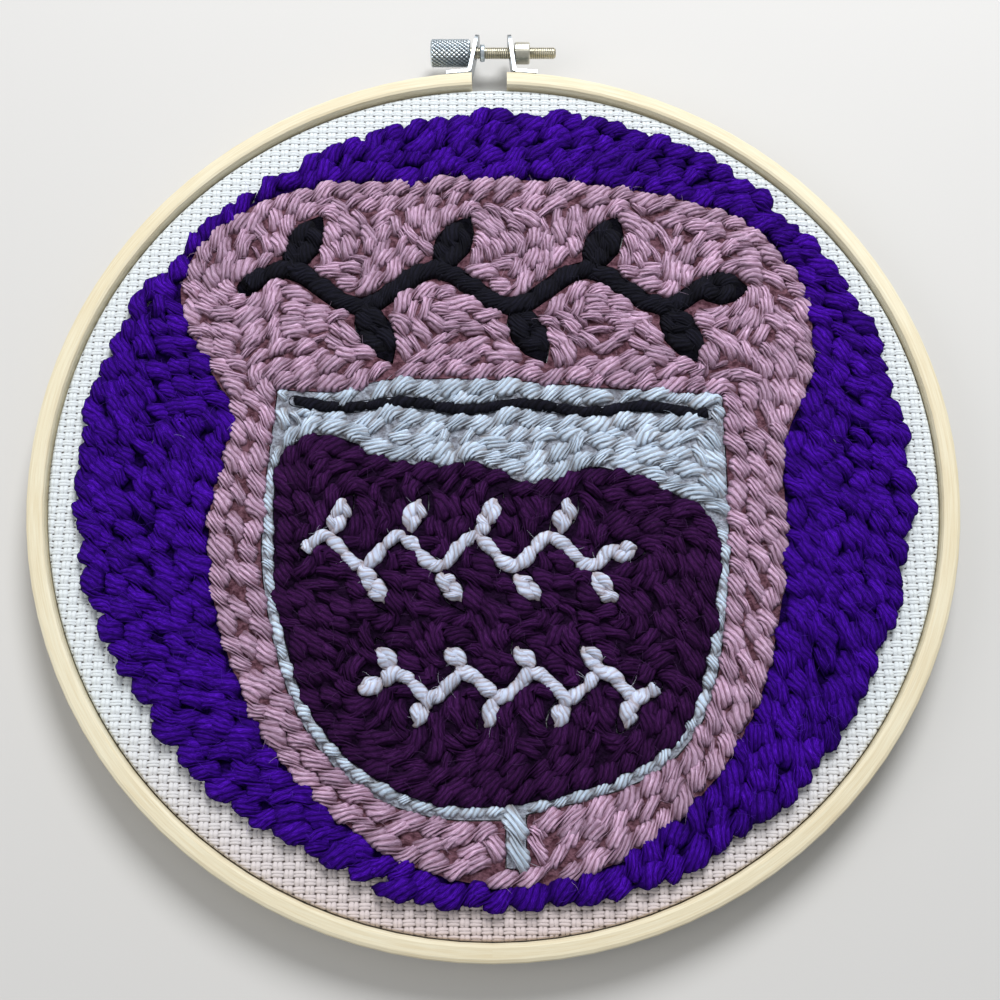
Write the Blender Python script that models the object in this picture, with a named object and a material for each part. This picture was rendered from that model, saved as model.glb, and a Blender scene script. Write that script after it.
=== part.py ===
"""A punch needle wall piece held in a round two-ring embroidery hoop, lying face up.
The picture's top is +Y, where the tension screw is, and the yarn pile faces +Z."""

import math

import bmesh
import bpy
import numpy as np
from mathutils import Matrix, Vector
from mathutils.geometry import delaunay_2d_cdt

# Driving dimensions, in millimetres.
HOOP_RADIUS = 108.0
RING_WALL = 4.1
RING_HEIGHT = 8.5
RING_EDGE = 0.9
GAP = 0.3
CLOTH_THICK = 1.0
RING_PROUD = 1.8
PILE_HEIGHT = 3.6
PILE_EDGE = 0.5
PURPLE_RADIUS = 96.5
SLOT_LEFT = -5.7
SLOT_RIGHT = 3.3
LUG_REACH = 12.5
LUG_TIP_RISE = 0.16
LUG_THICK = 0.9
LUG_WIDE = 7.0
LUG_FOOT = 6.5
SCREW_OUT = 8.2
SHANK_RADIUS = 1.5
HEAD_RADIUS = 3.55
HEAD_LENGTH = 10.3
SCREW_LEFT = -16.5
SCREW_RIGHT = 16.1
COLLAR_RADIUS = 2.2
NUT_RADIUS = 2.8
NUT_LENGTH = 4.0
BLACK_STROKE = 4.6
WHITE_STROKE = 3.0
RIM_STROKE = 2.6

# Worked out from them.
HOOP_Y = -(LUG_REACH + LUG_TIP_RISE) / 2
CLOTH_RADIUS = HOOP_RADIUS - RING_WALL - GAP
INNER_RADIUS = CLOTH_RADIUS - CLOTH_THICK - GAP
CLOTH_LOW = RING_HEIGHT + GAP
CLOTH_TOP = CLOTH_LOW + CLOTH_THICK
RING_TOP = CLOTH_TOP + RING_PROUD
RING_LOW = RING_TOP - RING_HEIGHT
PILE_LOW = CLOTH_TOP + GAP
PILE_TOP = PILE_LOW + PILE_HEIGHT
SCREW_Y = HOOP_RADIUS + SCREW_OUT
SCREW_Z = RING_LOW + RING_HEIGHT / 2


def clear_scene():
    for obj in list(bpy.data.objects):
        bpy.data.objects.remove(obj)
    for child in list(bpy.context.scene.collection.children):
        bpy.context.scene.collection.children.unlink(child)


def material(name, colour, roughness, metallic=0.0):
    made = bpy.data.materials.new(name)
    made.use_nodes = True
    shader = made.node_tree.nodes["Principled BSDF"]
    shader.inputs["Base Color"].default_value = (*colour, 1.0)
    shader.inputs["Roughness"].default_value = roughness
    shader.inputs["Metallic"].default_value = metallic
    return made


def add_node(name, mesh, stuff, smooth=False):
    obj = bpy.data.objects.new(name, mesh)
    mesh.materials.clear()
    mesh.materials.append(stuff)
    mesh.polygons.foreach_set("use_smooth", [smooth] * len(mesh.polygons))
    parts.objects.link(obj)
    return obj


def place(mesh):
    """Millimetres about the hoop's centre become metres in the object's frame."""
    mesh.transform(Matrix.Scale(0.001, 4) @ Matrix.Translation((0.0, HOOP_Y, 0.0)))


# ---- turned pieces -------------------------------------------------------------------


def turned(profile, steps, axis="Z"):
    """A closed (radius, height) profile carried round an axis. Points on the axis are single."""
    bm = bmesh.new()
    rings = []
    for radius, height in profile:
        if radius < 1e-6:
            rings.append([bm.verts.new((0.0, 0.0, height))])
            continue
        rings.append(
            [
                bm.verts.new(
                    (
                        radius * math.cos(2 * math.pi * k / steps),
                        radius * math.sin(2 * math.pi * k / steps),
                        height,
                    )
                )
                for k in range(steps)
            ]
        )
    for a, b in zip(rings, rings[1:] + rings[:1]):
        if len(a) == 1 and len(b) == 1:
            continue
        for k in range(steps):
            n = (k + 1) % steps
            corners = [a[k % len(a)], a[n % len(a)], b[n % len(b)], b[k % len(b)]]
            corners = list(dict.fromkeys(corners))
            bm.faces.new(corners)
    bmesh.ops.recalc_face_normals(bm, faces=bm.faces)
    if axis == "X":
        bmesh.ops.rotate(bm, verts=bm.verts, matrix=Matrix.Rotation(math.pi / 2, 3, "Y"))
    mesh = bpy.data.meshes.new("turned")
    bm.to_mesh(mesh)
    bm.free()
    return mesh


def rounded_box_profile(inner, outer, low, high, edge, turns=(0, 45, 90)):
    """The cross-section of a ring, with a quarter round or a chamfer at each corner."""
    corners = (
        (inner + edge, low + edge, 180),
        (outer - edge, low + edge, 270),
        (outer - edge, high - edge, 0),
        (inner + edge, high - edge, 90),
    )
    points = []
    for r, z, start in corners:
        for turn in turns:
            angle = math.radians(start + turn)
            points.append((r + edge * math.cos(angle), z + edge * math.sin(angle)))
    return points


def cut(obj, cutter_mesh, name):
    """Takes the cutter away from the object with an exact Boolean."""
    cutter = bpy.data.objects.new(name, cutter_mesh)
    cutter.hide_render = True
    cutter.display_type = "WIRE"
    helpers.objects.link(cutter)
    boolean = obj.modifiers.new("cut_" + name, "BOOLEAN")
    boolean.operation = "DIFFERENCE"
    boolean.solver = "EXACT"
    boolean.object = cutter


def box_mesh(low, high):
    mesh = bpy.data.meshes.new("box")
    bm = bmesh.new()
    bmesh.ops.create_cube(bm, size=1.0)
    size = [b - a for a, b in zip(low, high)]
    centre = [(a + b) / 2 for a, b in zip(low, high)]
    bmesh.ops.scale(bm, vec=size, verts=bm.verts)
    bmesh.ops.translate(bm, vec=centre, verts=bm.verts)
    bm.to_mesh(mesh)
    bm.free()
    return mesh


def rod_mesh(radius, left, right, steps=32):
    """A cylinder along X at the screw's height."""
    mesh = turned([(0, left), (radius, left), (radius, right), (0, right)], steps, "X")
    mesh.transform(Matrix.Translation((0.0, SCREW_Y, SCREW_Z)))
    return mesh


# ---- outlines ------------------------------------------------------------------------


def smooth_loop(points, per=3):
    """A closed Catmull-Rom curve through the points. A point given twice is a corner."""
    knots = [Vector(p) for p in points]
    count = len(knots)
    out = []
    for i in range(count):
        p0, p1, p2, p3 = (knots[(i + k - 1) % count] for k in range(4))
        if (p2 - p1).length < 1e-6:
            continue
        for j in range(per):
            t = j / per
            out.append(
                0.5
                * (
                    2 * p1
                    + (p2 - p0) * t
                    + (2 * p0 - 5 * p1 + 4 * p2 - p3) * t * t
                    + (3 * p1 - p0 - 3 * p2 + p3) * t * t * t
                )
            )
    return [(p.x, p.y) for p in out]


def ribbon(path, width, end_steps=3):
    """The outline of a stroke of even width with round ends."""
    path = np.array(path, float)
    along = np.gradient(path, axis=0)
    along /= np.linalg.norm(along, axis=1)[:, None]
    across = np.stack([-along[:, 1], along[:, 0]], axis=1) * width / 2
    turn = np.linspace(0, math.pi, end_steps + 2)[1:-1, None]
    far = path[-1] + across[-1] * np.cos(turn) + along[-1] * width / 2 * np.sin(turn)
    near = path[0] - across[0] * np.cos(turn) - along[0] * width / 2 * np.sin(turn)
    loop = np.concatenate([path + across, far, (path - across)[::-1], near])
    return [tuple(p) for p in loop[::-1]]


def leaf(root, angle, length, width, steps=4):
    """A pointed oval: half its width times the sine of the way along, to the power 0.8."""
    way = np.linspace(0, 1, steps + 1)
    half = width / 2 * np.sin(math.pi * way) ** 0.8
    x = np.concatenate([way, way[-2:0:-1]]) * length
    y = np.concatenate([-half, half[-2:0:-1]])
    c, s = math.cos(angle), math.sin(angle)
    return [(root[0] + c * a - s * b, root[1] + s * a + c * b) for a, b in zip(x, y)]


def joined_outline(loops):
    """The outer outline of overlapping loops, as one loop."""
    points, faces = [], []
    for loop in loops:
        faces.append(list(range(len(points), len(points) + len(loop))))
        points += [Vector(p) for p in loop]
    verts, _, tris, _, _, _ = delaunay_2d_cdt(points, [], faces, 1, 1e-4)
    follow = {}
    edges = {(a, b) for t in tris for a, b in zip(t, t[1:] + t[:1])}
    for a, b in edges:
        if (b, a) not in edges:
            follow[a] = b
    start = min(follow, key=lambda i: verts[i].x)
    walk, here = [start], follow[start]
    while here != start:
        walk.append(here)
        here = follow[here]
    out = []
    for i in walk:
        p = (verts[i].x, verts[i].y)
        if not out or math.dist(out[-1], p) > 0.6:
            out.append(p)
    return out


def sprig(left, right, middle, sway, waves, stroke, leaf_long, leaf_wide, lean, heading=1):
    """A swaying stem with a leaf at every crest and trough, and one at its tip."""
    x = np.linspace(left, right, 8 * waves + 1)
    turn = 2 * math.pi * waves * (x - left) / (right - left)
    path = np.stack([x, middle + sway * np.sin(turn)], axis=1)
    if heading < 0:
        path = path[::-1]
    loops = [ribbon(path, stroke)]
    for k in range(2 * waves):
        side = 1 if k % 2 == 0 else -1
        at = left + (right - left) * (2 * k + 1) / (4 * waves)
        root = (at, middle + side * (sway - stroke / 4))
        angle = side * lean if heading > 0 else math.pi - side * lean
        loops.append(leaf(root, angle, leaf_long, leaf_wide))
    tip = path[-1] - np.array([heading * stroke / 2, 0])
    loops.append(leaf(tip, 0 if heading > 0 else math.pi, leaf_long * 0.8, leaf_wide))
    return joined_outline(loops)


def pile(name, outer, holes, stuff, edge=0.0):
    """A patch of yarn pile: its outlines filled, given its height, and eased along its edges."""
    curve = bpy.data.curves.new(name, "CURVE")
    curve.dimensions = "2D"
    curve.fill_mode = "BOTH"
    curve.extrude = PILE_HEIGHT / 2 - edge
    curve.bevel_depth = edge
    curve.bevel_resolution = 0
    curve.offset = -edge - GAP / 2
    for loop in [outer, *holes]:
        spline = curve.splines.new("POLY")
        spline.points.add(len(loop) - 1)
        for point, (x, y) in zip(spline.points, loop):
            point.co = (x, y, 0.0, 1.0)
        spline.use_cyclic_u = True
    source = bpy.data.objects.new(name + "_outline", curve)
    helpers.objects.link(source)
    bpy.context.view_layer.update()
    graph = bpy.context.evaluated_depsgraph_get()
    mesh = bpy.data.meshes.new_from_object(source.evaluated_get(graph))
    bpy.data.objects.remove(source)
    bm = bmesh.new()
    bm.from_mesh(mesh)
    bmesh.ops.remove_doubles(bm, verts=bm.verts, dist=0.01)
    bmesh.ops.recalc_face_normals(bm, faces=bm.faces)
    bmesh.ops.translate(bm, verts=bm.verts, vec=(0, 0, PILE_LOW + PILE_HEIGHT / 2))
    bm.to_mesh(mesh)
    bm.free()
    place(mesh)
    return add_node(name, mesh, stuff)


# ---- metal strip ---------------------------------------------------------------------


def lug(name, side, base_x, tip_x, stuff):
    """A strip with its foot against the outer ring, bent outwards, with a hole for the screw."""
    rest = HOOP_RADIUS + GAP
    foot = [
        (base_x + side * along, math.sqrt(rest**2 - (base_x + side * along) ** 2))
        for along in np.linspace(LUG_FOOT, 1.2, 5)
    ]
    bend = (base_x + side * 0.25, rest + 0.35)
    tip = (tip_x, HOOP_RADIUS + LUG_REACH)
    path = np.array([*foot, bend, tip], float)
    steps = np.diff(path, axis=0)
    steps /= np.linalg.norm(steps, axis=1)[:, None]
    across = np.stack([-steps[:, 1], steps[:, 0]], axis=1) * -side
    mean = np.concatenate([across[:1], across[:-1] + across[1:], across[-1:]])
    mean /= (mean * np.concatenate([across[:1], across[1:], across[-1:]])).sum(1)[:, None]
    thick = path + mean * LUG_THICK
    bm = bmesh.new()
    loop = [*path, *thick[::-1]]
    low = [bm.verts.new((x, y, SCREW_Z - LUG_WIDE / 2)) for x, y in loop]
    high = [bm.verts.new((x, y, SCREW_Z + LUG_WIDE / 2)) for x, y in loop]
    count = len(path)
    for k in range(count - 1):
        a, b, c, d = k, k + 1, 2 * count - 2 - k, 2 * count - 1 - k
        bm.faces.new([low[a], low[b], low[c], low[d]])
        bm.faces.new([high[d], high[c], high[b], high[a]])
    for k in range(2 * count):
        n = (k + 1) % (2 * count)
        bm.faces.new([low[k], high[k], high[n], low[n]])
    corners = [
        bm.edges.get((ring[count - 1], ring[count]))
        for ring in (low, high)
    ]
    bmesh.ops.bevel(bm, geom=corners, offset=LUG_WIDE * 0.36, segments=5, affect="EDGES", profile=0.5)
    bmesh.ops.recalc_face_normals(bm, faces=bm.faces)
    mesh = bpy.data.meshes.new(name)
    bm.to_mesh(mesh)
    bm.free()
    place(mesh)
    obj = add_node(name, mesh, stuff)
    hole = rod_mesh(SHANK_RADIUS + GAP, tip_x - 8, tip_x + 8)
    place(hole)
    cut(obj, hole, name + "_hole")
    return obj


# ---- the object ----------------------------------------------------------------------

clear_scene()
parts = bpy.data.collections.new("punch_needle_wall_piece")
helpers = bpy.data.collections.new("cutters")
bpy.context.scene.collection.children.link(parts)
bpy.context.scene.collection.children.link(helpers)

inner_profile = rounded_box_profile(
    INNER_RADIUS - RING_WALL, INNER_RADIUS, 0.0, RING_HEIGHT, RING_EDGE / 2, (0, 90)
)
inner_mesh = turned(inner_profile, 96)
place(inner_mesh)
add_node("inner_hoop", inner_mesh, material("inner_hoop_wood", (0.80, 0.70, 0.47), 0.55), True)

outer_mesh = turned(
    rounded_box_profile(HOOP_RADIUS - RING_WALL, HOOP_RADIUS, RING_LOW, RING_TOP, RING_EDGE), 96
)
place(outer_mesh)
outer_hoop = add_node(
    "outer_hoop", outer_mesh, material("outer_hoop_wood", (0.83, 0.74, 0.52), 0.5), True
)
slot_mesh = box_mesh(
    (SLOT_LEFT, HOOP_RADIUS - 12, RING_LOW - 2), (SLOT_RIGHT, HOOP_RADIUS + 4, RING_TOP + 2)
)
place(slot_mesh)
cut(outer_hoop, slot_mesh, "ring_slot")

cloth_profile = [
    (0.0, CLOTH_TOP),
    (CLOTH_RADIUS - 0.8, CLOTH_TOP),
    (CLOTH_RADIUS - 0.25, CLOTH_TOP - 0.25),
    (CLOTH_RADIUS, CLOTH_TOP - 0.8),
    (CLOTH_RADIUS, RING_LOW - 1.2),
    (CLOTH_RADIUS - CLOTH_THICK, RING_LOW - 1.2),
    (CLOTH_RADIUS - CLOTH_THICK, CLOTH_LOW),
    (0.0, CLOTH_LOW),
]
cloth_mesh = turned(cloth_profile, 96)
place(cloth_mesh)
add_node("ground_cloth", cloth_mesh, material("ground_cloth_weave", (0.78, 0.76, 0.70), 0.9))

# The picture: each outline is shared by the patches on its two sides.
edge_angles = np.linspace(0, 2 * math.pi, 97)[:-1]
edge_radius = (
    PURPLE_RADIUS
    + 1.5 * np.cos(3 * (edge_angles - math.radians(50)))
    + 1.0 * np.cos(edge_angles + math.radians(10))
)
purple_edge = [
    (r * math.cos(a), r * math.sin(a)) for r, a in zip(edge_radius, edge_angles)
]
label_and_halo = smooth_loop(
    [
        (-50, 73), (-20, 76), (12, 76), (46, 71), (66, 61), (76, 43), (75, 23), (68, 6),
        (67, -16), (64, -36), (57, -57), (44, -75), (26, -88), (6, -93), (-16, -89), (-34, -78),
        (-48, -64), (-58, -46), (-64, -26), (-65, -6), (-62, 14), (-71, 31), (-76, 46), (-69, 62),
    ]
)
glass_edge = smooth_loop(
    [
        (-51, 20), (-51, 20), (-36, 19.5), (-25, 22.5), (0, 22.5), (25, 20.5), (54, 18.5), (54, 18.5),
        (54, -10), (53, -28), (48.5, -52), (40, -65.5), (27, -72.8), (7.2, -77.8), (7.2, -77.8),
        (7.2, -89), (7.2, -89), (2.8, -89), (2.8, -89), (2.8, -79), (2.8, -79), (-12, -78.6),
        (-26, -74), (-37, -65), (-45, -52), (-51, -32), (-53, -12),
    ]
)
wine_edge = smooth_loop(
    [
        (-49.5, 3), (-42, 8.5), (-33, 7), (-23, 2.5), (-13, 0.5), (-5, 2.2), (3, -1.5), (9, -3.5),
        (16, -1.5), (23, 1), (33, -2), (44, -7), (51, -14), (51, -26), (46, -51), (38, -63),
        (27, -70), (14, -74), (0, -76.2), (-12, -75.6), (-24, -71.2), (-35, -62.8), (-42.6, -51),
        (-48.4, -32), (-50.4, -14),
    ]
)
rim_x = np.linspace(-47, 50.5, 28)
rim_edge = ribbon(
    np.stack([rim_x, 15.6 - 0.02 * rim_x + 0.9 * np.sin(rim_x / 4.6)], axis=1), RIM_STROKE
)
garland = sprig(-60, 50, 46.5, 5.0, 3, BLACK_STROKE, 18.0, 9.0, math.radians(62))
upper_sprig = sprig(-43, 26, -19.5, 3.6, 4, WHITE_STROKE, 13.0, 5.2, math.radians(60))
lower_sprig = sprig(-25, 36, -50.0, 2.8, 4, WHITE_STROKE, 10.0, 4.6, math.radians(60), -1)

purple_yarn = material("purple_yarn", (0.065, 0.012, 0.27), 0.95)
mauve_yarn = material("mauve_yarn", (0.38, 0.20, 0.25), 0.95)
pale_yarn = material("pale_yarn", (0.50, 0.58, 0.65), 0.95)
plum_yarn = material("plum_yarn", (0.045, 0.012, 0.05), 0.95)
rim_yarn = material("rim_yarn", (0.012, 0.012, 0.02), 0.95)
garland_yarn = material("garland_yarn", (0.010, 0.011, 0.017), 0.95)
upper_yarn = material("upper_sprig_yarn", (0.72, 0.74, 0.86), 0.95)
lower_yarn = material("lower_sprig_yarn", (0.70, 0.72, 0.85), 0.95)

pile("purple_ground", purple_edge, [label_and_halo], purple_yarn, PILE_EDGE)
pile("mauve_surround", label_and_halo, [glass_edge, garland], mauve_yarn)
pile("pale_glass", glass_edge, [wine_edge, rim_edge], pale_yarn)
pile("plum_wine", wine_edge, [upper_sprig, lower_sprig], plum_yarn)
pile("black_rim_line", rim_edge, [], rim_yarn)
pile("black_garland", garland, [], garland_yarn)
pile("white_sprig_upper", upper_sprig, [], upper_yarn)
pile("white_sprig_lower", lower_sprig, [], lower_yarn)

# The clasp: two lugs on the ring's ends, a knurled screw through them and a nut.
lug_left_x, lug_left_tip = SLOT_LEFT, SLOT_LEFT + 1.9
lug_right_x, lug_right_tip = SLOT_RIGHT + 1.3, SLOT_RIGHT + 0.1
lug("lug_left", -1, lug_left_x, lug_left_tip, material("lug_left_zinc", (0.62, 0.63, 0.62), 0.35, 1.0))
lug("lug_right", 1, lug_right_x, lug_right_tip, material("lug_right_zinc", (0.62, 0.63, 0.62), 0.35, 1.0))

share = SCREW_OUT / LUG_REACH
left_plate = lug_left_x + share * (lug_left_tip - lug_left_x)
right_plate = lug_right_x + share * (lug_right_tip - lug_right_x)
head_end = SCREW_LEFT + HEAD_LENGTH
collar_start = left_plate + 0.7
screw_profile = [
    (0.0, SCREW_LEFT),
    (HEAD_RADIUS - 0.5, SCREW_LEFT),
    (HEAD_RADIUS, SCREW_LEFT + 0.5),
    (HEAD_RADIUS, head_end - 0.5),
    (HEAD_RADIUS - 0.5, head_end),
    (SHANK_RADIUS, head_end),
    (SHANK_RADIUS, collar_start),
    (COLLAR_RADIUS, collar_start),
    (COLLAR_RADIUS, collar_start + 1.3),
    (SHANK_RADIUS, collar_start + 1.6),
    (SHANK_RADIUS, SCREW_RIGHT - 0.5),
    (SHANK_RADIUS - 0.5, SCREW_RIGHT),
    (0.0, SCREW_RIGHT),
]
screw_mesh = turned(screw_profile, 32, "X")
screw_mesh.transform(Matrix.Translation((0.0, SCREW_Y, SCREW_Z)))
place(screw_mesh)
add_node("thumb_screw", screw_mesh, material("thumb_screw_zinc", (0.66, 0.67, 0.66), 0.32, 1.0))

nut_left = right_plate + LUG_THICK + 0.6
bore = SHANK_RADIUS + GAP
nut_profile = [
    (bore, nut_left),
    (NUT_RADIUS - 0.3, nut_left),
    (NUT_RADIUS, nut_left + 0.3),
    (NUT_RADIUS, nut_left + NUT_LENGTH - 0.3),
    (NUT_RADIUS - 0.3, nut_left + NUT_LENGTH),
    (bore, nut_left + NUT_LENGTH),
]
nut_mesh = turned(nut_profile, 32, "X")
nut_mesh.transform(Matrix.Translation((0.0, SCREW_Y, SCREW_Z)))
place(nut_mesh)
add_node("barrel_nut", nut_mesh, material("barrel_nut_zinc", (0.72, 0.71, 0.66), 0.28, 1.0))
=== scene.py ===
import math

import bpy
import numpy as np
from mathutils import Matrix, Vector
from mathutils.geometry import delaunay_2d_cdt


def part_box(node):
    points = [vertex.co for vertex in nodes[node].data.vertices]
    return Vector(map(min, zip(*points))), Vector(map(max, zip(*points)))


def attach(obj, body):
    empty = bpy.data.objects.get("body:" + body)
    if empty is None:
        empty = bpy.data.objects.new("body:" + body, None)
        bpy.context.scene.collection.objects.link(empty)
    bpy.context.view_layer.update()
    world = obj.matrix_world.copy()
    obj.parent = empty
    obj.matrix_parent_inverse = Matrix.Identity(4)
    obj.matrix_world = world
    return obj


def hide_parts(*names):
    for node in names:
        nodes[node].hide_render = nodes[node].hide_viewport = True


# The looks of a punch needle wall piece in its embroidery hoop.
# Shapes are worked out in millimetres about the hoop's centre and stored in metres.

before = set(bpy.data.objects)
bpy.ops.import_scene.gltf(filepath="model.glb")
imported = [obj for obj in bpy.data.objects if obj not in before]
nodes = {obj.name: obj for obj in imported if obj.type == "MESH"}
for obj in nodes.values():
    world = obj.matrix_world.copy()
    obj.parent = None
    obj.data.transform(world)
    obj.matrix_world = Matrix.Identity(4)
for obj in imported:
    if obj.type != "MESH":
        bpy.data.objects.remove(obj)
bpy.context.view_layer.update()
scene = bpy.context.scene
chance = np.random.default_rng(41)
print("stage: frame loaded")


# The low and high corner of a node's box, in millimetres.
def boxOf(name):
    low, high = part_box(name)
    return np.array(low) * 1000, np.array(high) * 1000


ringLow, ringHigh = boxOf("inner_hoop")
hoopCentre = np.array([(ringLow[0] + ringHigh[0]) / 2, (ringLow[1] + ringHigh[1]) / 2, 0.0])
clothTop = boxOf("ground_cloth")[1][2]
backGap = 0.3    # how far the cloth's under side clears the inner ring
clothUnder = ringHigh[2] + backGap
clothRadius = (boxOf("ground_cloth")[1][0] - boxOf("ground_cloth")[0][0]) / 2
pileTop = boxOf("pale_glass")[1][2]


# Puts arrays into a mesh: points in mm, quads, and further faces with more or fewer corners.
def makePiece(name, points, quads, caps=(), uv=None, values=None, smooth=True):
    groups = [g for g in [np.asarray(quads), *[np.asarray(c) for c in caps]] if len(g)]
    corners = np.concatenate([g.ravel() for g in groups]).astype(np.int32)
    sizes = np.concatenate([np.full(len(g), g.shape[1]) for g in groups])
    starts = np.concatenate([[0], np.cumsum(sizes)[:-1]]).astype(np.int32)
    mesh = bpy.data.meshes.new(name)
    mesh.vertices.add(len(points))
    mesh.vertices.foreach_set("co", ((points + hoopCentre) / 1000).astype(np.float32).ravel())
    mesh.loops.add(len(corners))
    mesh.loops.foreach_set("vertex_index", corners)
    mesh.polygons.add(len(sizes))
    mesh.polygons.foreach_set("loop_start", starts)
    mesh.polygons.foreach_set("use_smooth", np.full(len(sizes), smooth))
    if uv is not None:
        layer = mesh.uv_layers.new(name="lay")
        layer.data.foreach_set("uv", uv[corners].astype(np.float32).ravel())
    for key, value in (values or {}).items():
        attribute = mesh.attributes.new(key, "FLOAT", "POINT")
        attribute.data.foreach_set("value", np.asarray(value, np.float32))
    mesh.update(calc_edges=True)
    mesh.validate()
    piece = bpy.data.objects.new(name, mesh)
    scene.collection.objects.link(piece)
    return piece


# The quads of a grid of rings: rows by columns, with the columns closed into a loop.
def ringQuads(rows, columns, start=0):
    k, j = np.meshgrid(np.arange(rows - 1), np.arange(columns), indexing="ij")
    n = (j + 1) % columns
    quads = np.stack([k * columns + j, k * columns + n, (k + 1) * columns + n, (k + 1) * columns + j], axis=-1)
    return quads.reshape(-1, 4) + start


# The loops round the level top of a node, with the yarn on the left of each.
def topOutlines(name):
    mesh = nodes[name].data
    points = np.empty(len(mesh.vertices) * 3, np.float32)
    mesh.vertices.foreach_get("co", points)
    points = points.reshape(-1, 3) * 1000.0
    mesh.calc_loop_triangles()
    faces = np.empty(len(mesh.loop_triangles) * 3, np.int32)
    mesh.loop_triangles.foreach_get("vertices", faces)
    faces = faces.reshape(-1, 3)
    level = points[:, 2] > points[:, 2].max() - 0.02
    faces = faces[level[faces].all(axis=1)]
    keys, index = np.unique(np.round(points[:, :2], 2), axis=0, return_inverse=True)
    faces = index.reshape(-1)[faces]
    edges = np.concatenate([faces[:, [0, 1]], faces[:, [1, 2]], faces[:, [2, 0]]])
    edges = edges[edges[:, 0] != edges[:, 1]]
    forward = edges[:, 0] * len(keys) + edges[:, 1]
    backward = edges[:, 1] * len(keys) + edges[:, 0]
    follow = dict(edges[~np.isin(forward, backward)].tolist())
    loops = []
    while follow:
        here, walk = next(iter(follow)), []
        while here in follow:
            walk.append(here)
            here = follow.pop(here)
        if len(walk) > 5:
            loops.append(keys[walk] - hoopCentre[:2])
    return loops


# Points every so many mm along a loop, closed or open.
def evenly(path, step, closed=True):
    if closed:
        path = np.concatenate([path, path[:1]])
    reach = np.concatenate([[0], np.cumsum(np.linalg.norm(np.diff(path, axis=0), axis=1))])
    count = max(2, int(round(reach[-1] / step)))
    at = np.linspace(0, reach[-1], count + 1)
    at = at[:-1] if closed else at
    return np.stack([np.interp(at, reach, path[:, 0]), np.interp(at, reach, path[:, 1])], axis=1)


# For each point: the distance to the nearest of the others, hypot(dx, dy), and which one it is.
def nearest(points, others):
    best = np.full(len(points), 1e9)
    which = np.zeros(len(points), int)
    for start in range(0, len(others), 400):
        part = others[start:start + 400]
        gap = np.hypot(points[:, None, 0] - part[None, :, 0], points[:, None, 1] - part[None, :, 1])
        pick = gap.argmin(axis=1)
        close = gap[np.arange(len(points)), pick]
        which = np.where(close < best, pick + start, which)
        best = np.minimum(best, close)
    return best, which


# A point is inside when a line from it to the right crosses the loops an odd number of times.
def inside(points, loops):
    count = np.zeros(len(points), int)
    for loop in loops:
        a, b = loop, np.roll(loop, -1, axis=0)
        for start in range(0, len(a), 300):
            p, q = a[start:start + 300], b[start:start + 300]
            spans = (p[None, :, 1] > points[:, None, 1]) != (q[None, :, 1] > points[:, None, 1])
            rise = np.where(q[:, 1] == p[:, 1], 1e-9, q[:, 1] - p[:, 1])
            cross = p[None, :, 0] + (points[:, None, 1] - p[None, :, 1]) * ((q[:, 0] - p[:, 0]) / rise)[None]
            count += (spans & (points[:, None, 0] < cross)).sum(axis=1)
    return count % 2 == 1


# Rows that follow the outline: outline points moved inwards by each depth, kept where no
# other edge is nearer and no row already laid is closer than apart.
def rowsInside(loops, depths, apart, slack=0.3, shortest=3.2, already=()):
    edges = [evenly(loop, 0.5) for loop in loops]
    normals = []
    for edge in edges:
        along = np.roll(edge, -3, axis=0) - np.roll(edge, 3, axis=0)
        along /= np.maximum(np.linalg.norm(along, axis=1), 1e-9)[:, None]
        normals.append(np.stack([-along[:, 1], along[:, 0]], axis=1))
    allEdges = np.concatenate(edges)
    taken, rows = np.concatenate([np.zeros((0, 2)), *already]), []
    for depth in depths:
        laid = 0
        for edge, normal in zip(edges, normals):
            moved = edge + normal * depth
            keep = nearest(moved, allEdges)[0] > depth - slack
            if len(taken):
                keep &= nearest(moved, taken)[0] > apart
            if keep.all():
                runs = [np.concatenate([moved, moved[:1]])]
            elif not keep.any():
                continue
            else:
                turn = int(np.argmin(keep))
                moved, keep = np.roll(moved, -turn, axis=0), np.roll(keep, -turn)
                leap = np.linalg.norm(np.diff(moved, axis=0, prepend=moved[:1]), axis=1) > 5.0
                cuts = np.flatnonzero(~keep | leap)
                runs = [moved[a:b][keep[a:b]] for a, b in zip(cuts, [*cuts[1:], len(moved)])]
            for run in runs:
                if len(run) < 3:
                    continue
                run = evenly(run, 0.5, closed=False)
                soft = run.copy()
                soft[1:-1] = (run[:-2] + 2 * run[1:-1] + run[2:]) / 4
                if np.linalg.norm(np.diff(soft, axis=0), axis=1).sum() < shortest:
                    continue
                rows.append(soft)
                taken = np.concatenate([taken, soft])
                laid += 1
        if not laid:
            break
    return rows


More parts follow.
